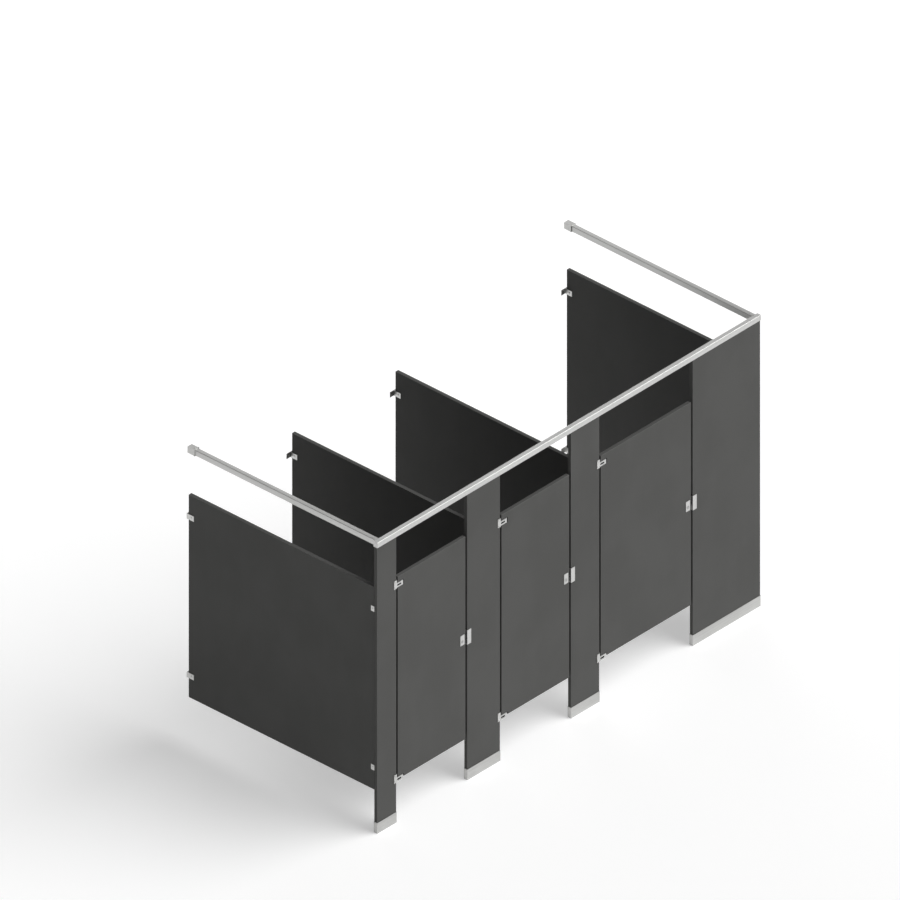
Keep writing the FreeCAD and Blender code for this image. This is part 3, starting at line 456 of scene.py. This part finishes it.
for node, width in steelEdges.items():
    fitting = cadCopy(node)
    softenEdges(fitting, width)
    standIn(fitting, node, steelUpright)
print("brackets, hinges and keepers finished")


# Latches: plate and case with rounded corners, a thumb turn that is kind to fingers

latchFit = {
    "plateCorner": 4.0 * mm,
    "plateEdge": 0.8 * mm,
    "caseEdge": 0.7 * mm,
    "thumbHeight": 13.5 * mm,  # that part of the turn's end which is rounded for the fingers
    "thumbRound": 3.2 * mm,
    "turnEdge": 0.5 * mm,
    "boltEdge": 0.9 * mm,
}

for number in doorNumbers:
    plateNode = "latch_plate_%d" % number
    low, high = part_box(plateNode)
    plate = cadCopy(plateNode)
    roundEdges(plate, lambda edge: onBoxFaces(edge, low, high, (0, 2)) == 2, latchFit["plateCorner"], 5)
    softenEdges(plate, latchFit["plateEdge"])
    standIn(plate, plateNode, steelUpright)

    caseNode = "latch_case_%d" % number
    case = cadCopy(caseNode)
    softenEdges(case, latchFit["caseEdge"])
    standIn(case, caseNode, steelUpright)

    turnNode = "latch_turn_%d" % number
    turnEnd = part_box(turnNode)[1].y
    turn = cadCopy(turnNode)
    thumbStart = turnEnd - latchFit["thumbHeight"]
    roundEdges(turn, lambda edge: middle(edge).y > thumbStart, latchFit["thumbRound"], 4)
    softenEdges(turn, latchFit["turnEdge"])
    # the turn wears the darkened steel, painted shade
    standIn(turn, turnNode, shadedDiscSteel)

    boltNode = "latch_bolt_%d" % number
    bolt = cadCopy(boltNode)
    softenEdges(bolt, latchFit["boltEdge"])
    standIn(bolt, boltNode, steelLevel)
print("latches finished")


# Bushes, washers, pins, feet and bumpers

smallEdges = {
    "hinge_washers": (0.3 * mm, nylon),
    "hinge_bushes_1": (0.3 * mm, nylon),
    "hinge_bushes_2": (0.3 * mm, nylon),
    "hinge_bushes_3": (0.3 * mm, nylon),
    "keeper_bumpers": (1.2 * mm, rubber),
    "hinge_pins": (0.6 * mm, screwSteel),
    "levelling_feet": (0.6 * mm, screwSteel),
    "levelling_nuts": (0.6 * mm, screwSteel),
}

washerFit = {"slack": 0.05 * mm}  # a hair of room, so that a turning bush does not rub on the washer


def lowerTop(piece, slack):
    top = max(corner[2] for corner in piece.bound_box)
    activate(piece)
    bpy.ops.object.mode_set(mode="EDIT")
    pick(piece, "verts", lambda vert: vert.co.z > top - near["level"])
    bpy.ops.transform.translate(value=(0, 0, -slack))
    bpy.ops.object.mode_set(mode="OBJECT")


for node, (width, material) in smallEdges.items():
    small = cadCopy(node)
    if node == "hinge_washers":
        lowerTop(small, washerFit["slack"])
    softenEdges(small, width)
    standIn(small, node, material)
print("bushes, washers, pins, feet and bumpers finished")


# Turned pieces: a disc is pulled up and scaled from step to step of its profile

def turnedPiece(name, profile, sides):
    radius, height = profile[0]
    bpy.ops.object.select_all(action="DESELECT")
    bpy.ops.mesh.primitive_circle_add(vertices=sides, radius=radius, fill_type="NGON", enter_editmode=True)
    bpy.ops.transform.translate(value=(0, 0, height))
    for nextRadius, nextHeight in profile[1:]:
        bpy.ops.mesh.extrude_region_move(TRANSFORM_OT_translate={"value": (0, 0, nextHeight - height)})
        step = nextRadius / radius
        bpy.ops.transform.resize(value=(step, step, 1), center_override=(0, 0, nextHeight))
        radius, height = nextRadius, nextHeight
    piece = bpy.context.object
    piece.name = name
    return piece


def sinkRecess(piece, radius, depth, waist):  # six-lobed socket in the face that is still selected
    top = max(vert.co.z for vert in bmesh.from_edit_mesh(piece.data).verts)
    rim = max(vert.co.xy.length for vert in bmesh.from_edit_mesh(piece.data).verts if vert.select)
    bpy.ops.mesh.extrude_region_move(TRANSFORM_OT_translate={"value": (0, 0, 0)})
    bpy.ops.transform.resize(value=(radius / rim, radius / rim, 1), center_override=(0, 0, top))

    def betweenLobes(vert):
        onRing = abs(vert.co.xy.length - radius) < near["ring"] and vert.co.z > top - near["level"]
        turn = math.degrees(math.atan2(vert.co.y, vert.co.x)) % 60  # six lobes
        return onRing and 20 < turn < 58

    def inMiddle(face):
        place = face.calc_center_median()
        return place.z > top - near["level"] and place.xy.length < near["beside"]

    pick(piece, "verts", betweenLobes)
    bpy.ops.transform.resize(value=(waist, waist, 1), center_override=(0, 0, top))
    pick(piece, "faces", inMiddle)
    bpy.ops.mesh.extrude_region_move(TRANSFORM_OT_translate={"value": (0, 0, -depth)})


def closePiece(piece):
    bpy.ops.mesh.select_all(action="SELECT")
    bpy.ops.mesh.remove_doubles(threshold=near["merge"] / 2)
    bpy.ops.mesh.normals_make_consistent(inside=False)
    bpy.ops.object.mode_set(mode="OBJECT")
    activate(piece)
    bpy.ops.object.shade_smooth_by_angle(angle=math.radians(smoothing["turned"]))
    return piece


# Fasteners: heads with a six-lobed socket, set where the solids of the node are

fastenerSizes = {
    "sides": 24,
    "recessShare": 0.42,      # of the head's radius
    "recessDepth": 0.55,      # of the head's height
    "lobeWaist": 0.80,
    "crownShare": 1.25,       # of the recess's radius
    "domeShare": 0.72,        # of the head's height
    "domeSteps": (25, 50, 75),
    "sunkHead": 3.0 * mm,
    "tipShare": 0.35,
    "turnBetween": 41.0,      # degrees from one head to the next
}


def domedHead(radius, height):  # from the seat up to the rim of the socket
    crown = radius * fastenerSizes["recessShare"] * fastenerSizes["crownShare"]
    dome = fastenerSizes["domeShare"] * height
    steps = [(radius, -height), (radius, -dome)]
    for angle in fastenerSizes["domeSteps"]:
        swing = math.radians(angle)
        steps.append((crown + (radius - crown) * math.cos(swing), -dome + dome * math.sin(swing)))
    steps.append((crown, 0.0))
    return steps


def makeFastener(kind, shank, head, headHeight, length):
    tip = shank * fastenerSizes["tipShare"]
    if kind == "through":
        foot = [(radius, -length - height) for radius, height in reversed(domedHead(head, headHeight))]
        profile = foot + [(shank, headHeight - length), (shank, -headHeight)] + domedHead(head, headHeight)
    elif kind == "sunk":
        profile = [(tip, -length), (shank, 2 * shank - length), (shank, -headHeight), (head, 0.0)]
    else:
        profile = [(tip, -length), (shank, 2 * shank - length), (shank, -headHeight)]
        profile += domedHead(head, headHeight)
    piece = turnedPiece("fastener", profile, fastenerSizes["sides"])
    recess = head * fastenerSizes["recessShare"]
    sinkRecess(piece, recess, headHeight * fastenerSizes["recessDepth"], fastenerSizes["lobeWaist"])
    return closePiece(piece)


def looseSolids(node):  # the points of each separate solid of a node
    shape = bmesh.new()
    shape.from_mesh(nodes[node].data)
    bmesh.ops.remove_doubles(shape, verts=shape.verts, dist=near["merge"])
    seen = set()
    solids = []
    for start in shape.verts:
        if start in seen:
            continue
        seen.add(start)
        waiting = [start]
        points = []
        while waiting:
            vert = waiting.pop()
            points.append(vert.co.copy())
            for edge in vert.link_edges:
                other = edge.other_vert(vert)
                if other not in seen:
                    seen.add(other)
                    waiting.append(other)
        solids.append(points)
    shape.free()
    return solids


def readFastener(points):  # where a fastener's head is, which way it looks, and its sizes
    low = Vector([min(point[axis] for point in points) for axis in range(3)])
    high = Vector([max(point[axis] for point in points) for axis in range(3)])
    span = high - low
    centre = (low + high) / 2

    def onEnds(axis):  # only the fastener's own axis has rings of points at its ends
        return sum(min(point[axis] - low[axis], high[axis] - point[axis]) < near["ring"] for point in points)

    run = max(range(3), key=onEnds)

    def offAxis(point):
        away = point - centre
        away[run] = 0.0
        return away.length

    ends = (low[run], high[run])
    endRadii = [max(offAxis(p) for p in points if abs(p[run] - end) < near["ring"]) for end in ends]
    headEnd = 1 if endRadii[1] >= endRadii[0] else 0
    outward = Vector((0, 0, 0))
    outward[run] = 1.0 if headEnd else -1.0
    top = centre.copy()
    top[run] = ends[headEnd]
    widest = max(offAxis(point) for point in points)
    seat = [abs(p[run] - ends[headEnd]) for p in points if offAxis(p) > widest - near["touch"]]
    even = abs(endRadii[0] - endRadii[1]) < near["touch"]
    kind = "through" if even else "sunk" if min(seat) < near["touch"] else "screw"
    headHeight = min(seat) if kind != "sunk" else fastenerSizes["sunkHead"]
    shank = min(offAxis(point) for point in points)
    return kind, top, outward, shank, widest, headHeight, span[run]


def meshCopy(pattern, place):
    copy = bpy.data.objects.new(pattern.name + "_copy", pattern.data.copy())
    bpy.context.collection.objects.link(copy)
    copy.data.transform(place)
    return copy


def placeFastener(pattern, top, outward, turn):
    aim = outward.to_track_quat("Z", "Y").to_matrix().to_4x4()
    return meshCopy(pattern, Matrix.Translation(top) @ aim @ Matrix.Rotation(math.radians(turn), 4, "Z"))


def joinCopies(copies, name):
    activate(copies[0])
    for copy in copies:
        copy.select_set(True)
    bpy.ops.object.join()
    joined = bpy.context.object
    joined.name = name
    return joined


fastenerPatterns = {}


def fastenerPattern(kind, shank, head, headHeight, length):
    key = (kind,) + tuple(round(size / mm, 2) for size in (shank, head, headHeight, length))
    if key not in fastenerPatterns:
        fastenerPatterns[key] = makeFastener(kind, shank, head, headHeight, length)
    return fastenerPatterns[key]


def dressFasteners(node):
    copies = []
    for index, points in enumerate(looseSolids(node)):
        kind, top, outward, shank, head, headHeight, length = readFastener(points)
        pattern = fastenerPattern(kind, shank, head, headHeight, length)
        copies.append(placeFastener(pattern, top, outward, index * fastenerSizes["turnBetween"]))
    standIn(joinCopies(copies, node + "_finished"), node, screwSteel)
    return len(copies)


fastenerNodes = ["panel_bolts", "hinge_bolts", "bracket_screws", "keeper_screws", "shoe_screws"]
fastenerNodes += ["headrail_screws"] + ["door_screws_%d" % number for number in doorNumbers]
print("fasteners set:", sum(dressFasteners(node) for node in fastenerNodes))


# Wall screws: one in each ear on the wall, where the record gives the holes

wallScrew = {"shank": 2.9 * mm, "head": 6.2 * mm, "headHeight": 2.6 * mm, "earSheet": 2.5 * mm}

wallCopies = []
reach = wallScrew["headHeight"] + wallScrew["earSheet"]
pattern = fastenerPattern("screw", wallScrew["shank"], wallScrew["head"], wallScrew["headHeight"], reach)
for mount in record["mounts"]:
    if mount["kind"] == "bolt_pattern" and "headrail" not in mount["name"]:
        across = mount["dims"].get("spacing_x_mm", 0) * mm / 2
        up = mount["dims"]["spacing_y_mm"] * mm / 2
        for side, level in itertools.product(sorted({-across, across}), (-up, up)):
            top = Vector(mount["pos_m"]) + Vector((side, -reach, level))
            turn = len(wallCopies) * fastenerSizes["turnBetween"]
            wallCopies.append(placeFastener(pattern, top, Vector((0, -1, 0)), turn))
wallScrews = joinCopies(wallCopies, "wall_screws")
wear(wallScrews, screwSteel)
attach(wallScrews, "frame")
for pattern in fastenerPatterns.values():
    bpy.data.objects.remove(pattern)
print("wall screws set:", len(wallCopies))


# Plugs: a black plug fills the slot in the face of each hinge tongue, a little behind the steel, as painted
# shade where the slot reads dark

shadePlugFit = {
    "length": 36.6 * mm,
    "height": 11.6 * mm,
    "fromPilaster": 8.2 * mm,
    "aboveFoot": {"hinge_brackets_top": 20.0 * mm, "hinge_brackets_bottom": 17.0 * mm},  # of the bracket
    "tongueProud": 1.0 * mm,
    "behindFace": 0.8 * mm,
    "thickness": 5.8 * mm,
    "dishRim": 1.2 * mm,
    "dish": 0.5 * mm,
    "edge": 0.2 * mm,
    "endRound": 0.49,         # of the height, just short of a half
}


def shadePlugPlace(pilaster, bracket):  # middle of the plug's front
    low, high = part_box(pilaster)
    x = high.x + shadePlugFit["fromPilaster"] + shadePlugFit["length"] / 2
    y = low.y - shadePlugFit["tongueProud"] + shadePlugFit["behindFace"]
    return Vector((x, y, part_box(bracket)[0].z + shadePlugFit["aboveFoot"][bracket]))


def makeShadePlug(place):
    bpy.ops.object.select_all(action="DESELECT")
    bpy.ops.mesh.primitive_cube_add(size=1, location=place + Vector((0, shadePlugFit["thickness"] / 2, 0)))
    plug = bpy.context.object
    plug.scale = (shadePlugFit["length"], shadePlugFit["thickness"], shadePlugFit["height"])
    bpy.ops.object.transform_apply(location=True, rotation=True, scale=True)
    roundEdges(plug, lambda edge: runsAlong(edge, "y"), shadePlugFit["endRound"] * shadePlugFit["height"], 6)
    bpy.ops.object.mode_set(mode="EDIT")
    pick(plug, "faces", lambda face: face.normal.y < -0.9)
    bpy.ops.mesh.inset(thickness=shadePlugFit["dishRim"])
    bpy.ops.transform.translate(value=(0, shadePlugFit["dish"], 0))
    bpy.ops.object.mode_set(mode="OBJECT")
    softenEdges(plug, shadePlugFit["edge"])
    return plug


shadePlugPlaces = [shadePlugPlace(pilaster, bracket) for pilaster in pilasters[:3] for bracket in shadePlugFit["aboveFoot"]]
plugs = [makeShadePlug(shadePlugPlaces[0])]
plugs += [meshCopy(plugs[0], Matrix.Translation(place - shadePlugPlaces[0])) for place in shadePlugPlaces[1:]]
# the joined plugs are painted shade for the dark hinge slots
hingeShadePlugs = joinCopies(plugs, "hinge_slot_plugs")
wear(hingeShadePlugs, slotShadeBlack)
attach(hingeShadePlugs, "frame")
print("hinge slot plugs set:", len(plugs))


# Coat hooks: a rounded plate, and a turned peg that swells to a knob

hookFit = {
    "plate": 3.0 * mm,
    "plateCorner": 9.0 * mm,
    "plateEdge": 0.9 * mm,
    "foot": ((8.5 * mm, 0.0), (8.5 * mm, 1.2 * mm), (6.0 * mm, 3.2 * mm), (5.0 * mm, 6.0 * mm)),
    "neck": 4.5 * mm,
    "neckStart": 11.0 * mm,
    "neckBeforeKnob": 15.0 * mm,
    "knob": 9.0 * mm,
    "knobSteps": (-55, -35, -15, 5, 25, 45, 62, 76),
    "tip": 0.6 * mm,
    "sides": 32,
}


def coatHook(number):
    node = "coat_hook_%d" % number
    low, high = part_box(node)
    centre = (low + high) / 2
    bpy.ops.object.select_all(action="DESELECT")
    bpy.ops.mesh.primitive_cube_add(size=1, location=(centre.x, low.y + hookFit["plate"] / 2, centre.z))
    plate = bpy.context.object
    plate.scale = (high.x - low.x, hookFit["plate"], high.z - low.z)
    bpy.ops.object.transform_apply(location=True, rotation=True, scale=True)
    roundEdges(plate, lambda edge: runsAlong(edge, "y"), hookFit["plateCorner"], 6)
    softenEdges(plate, hookFit["plateEdge"], 3)

    tip = high.y - low.y - hookFit["plate"]
    knobAt = tip - hookFit["knob"]
    neckEnd = knobAt - hookFit["neckBeforeKnob"]
    profile = [*hookFit["foot"], (hookFit["neck"], hookFit["neckStart"]), (hookFit["neck"], neckEnd)]
    for angle in hookFit["knobSteps"]:
        swing = math.radians(angle)
        profile.append((hookFit["knob"] * math.cos(swing), knobAt + hookFit["knob"] * math.sin(swing)))
    profile.append((hookFit["tip"], tip))
    peg = closePiece(turnedPiece("peg", profile, hookFit["sides"]))
    foot = Matrix.Translation((centre.x, low.y + hookFit["plate"], centre.z))
    peg.data.transform(foot @ Matrix.Rotation(math.radians(-90), 4, "X"))
    standIn(joinCopies([plate, peg], node + "_finished"), node, steelUpright)


for number in doorNumbers:
    coatHook(number)
print("coat hooks finished")


# Studio: pale floor, soft light, and a parallel view from the front left

viewSettings = {
    "azimuth": -47.52,
    "elevation": 33.02,
    "metresAcross": 5.488,
    "cornerRight": 0.4436,    # from the first pilaster's front foot to the middle of the picture
    "cornerUp": 2.339,
    "distance": 14.0,
}
studio = {
    "floorSize": 90.0,
    "floorColour": (0.73, 0.73, 0.73, 1),
    "floorWorn": (0.71, 0.71, 0.71, 1),
    "floorWear": 0.8,         # how often the floor's tone changes
    "floorRoughness": 0.9,
    "floorGlow": 0.43,        # light from under the floor, as on a shooting table
    "skyColour": (1.0, 1.0, 1.0, 1),
    "skyStrength": 0.05,
    "horizonStrength": 1.0,   # pale all round below the horizon, as the floor is
    "horizonHeight": 0.03,
    "keyFrom": (0.46, -0.57, 0.68),
    "keySpread": 60.0,
    "keyStrength": 3.1,
    "highCard": {"place": (8.0, 7.5, 7.0), "size": 10.0, "power": 200.0},  # shines along the rails
    "lowCard": {"place": (6.5, 10.0, 4.1), "size": 8.0, "power": 270.0},   # fills the cubicles from the back
    "cardsFace": (0.0, 0.0, 1.5),
}


def aimLight(light, toward):
    light.rotation_euler = Vector(toward).to_track_quat("-Z", "Y").to_euler()


bpy.ops.object.select_all(action="DESELECT")
bpy.ops.mesh.primitive_plane_add(size=studio["floorSize"])
floor = bpy.context.object
floor.name = "floor"
floorLight = {"Emission_Color": (1, 1, 1, 1), "Emission_Strength": studio["floorGlow"]}
paleFloor, floorShader, floorPlace = newFinish("pale_floor", Roughness=studio["floorRoughness"], **floorLight)
floorTone = floorPlace.noise(studio["floorWear"], 2.0)
floorPlace.plug(floorShader, "Base Color", floorTone.colour(studio["floorWorn"], studio["floorColour"]))
wear(floor, paleFloor)

sky = bpy.data.worlds.new("studio")
bpy.context.scene.world = sky
sky.use_nodes = True
backdrop = sky.node_tree.nodes["Background"]
backdrop.inputs["Color"].default_value = studio["skyColour"]
outlook = Wire(sky.node_tree).add("ShaderNodeTexCoord", out="Generated")
height = outlook.add("ShaderNodeSeparateXYZ", None, {0: outlook}, out="Z")
pale = height.between(studio["horizonHeight"], 0.0)
paler = studio["horizonStrength"] - studio["skyStrength"]
outlook.plug(backdrop, "Strength", studio["skyStrength"] + paler * pale)
bpy.ops.object.light_add(type="SUN")
key = bpy.context.object
key.name = "key"
key.data.energy = studio["keyStrength"]
key.data.angle = math.radians(studio["keySpread"])
aimLight(key, -Vector(studio["keyFrom"]))
for name in ("highCard", "lowCard"):
    bpy.ops.object.light_add(type="AREA", location=studio[name]["place"])
    card = bpy.context.object
    card.name = name
    card.data.size = studio[name]["size"]
    card.data.energy = studio[name]["power"]
    aimLight(card, Vector(studio["cardsFace"]) - Vector(studio[name]["place"]))
bpy.context.scene.view_settings.view_transform = "Standard"

turn = math.radians(viewSettings["azimuth"])
tilt = math.radians(viewSettings["elevation"])
right = Vector((math.cos(turn), math.sin(turn), 0))
upward = Vector((-math.sin(turn) * math.sin(tilt), math.cos(turn) * math.sin(tilt), math.cos(tilt)))
back = right.cross(upward)
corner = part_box("pilaster_1")[0]
corner.z = 0.0
target = corner + viewSettings["cornerRight"] * right + viewSettings["cornerUp"] * upward
bpy.ops.object.camera_add(location=target + viewSettings["distance"] * back)
camera = bpy.context.object
camera.data.type = "ORTHO"
camera.data.ortho_scale = viewSettings["metresAcross"]
camera.rotation_euler = (-back).to_track_quat("-Z", "Y").to_euler()
bpy.context.scene.camera = camera
print("studio ready")
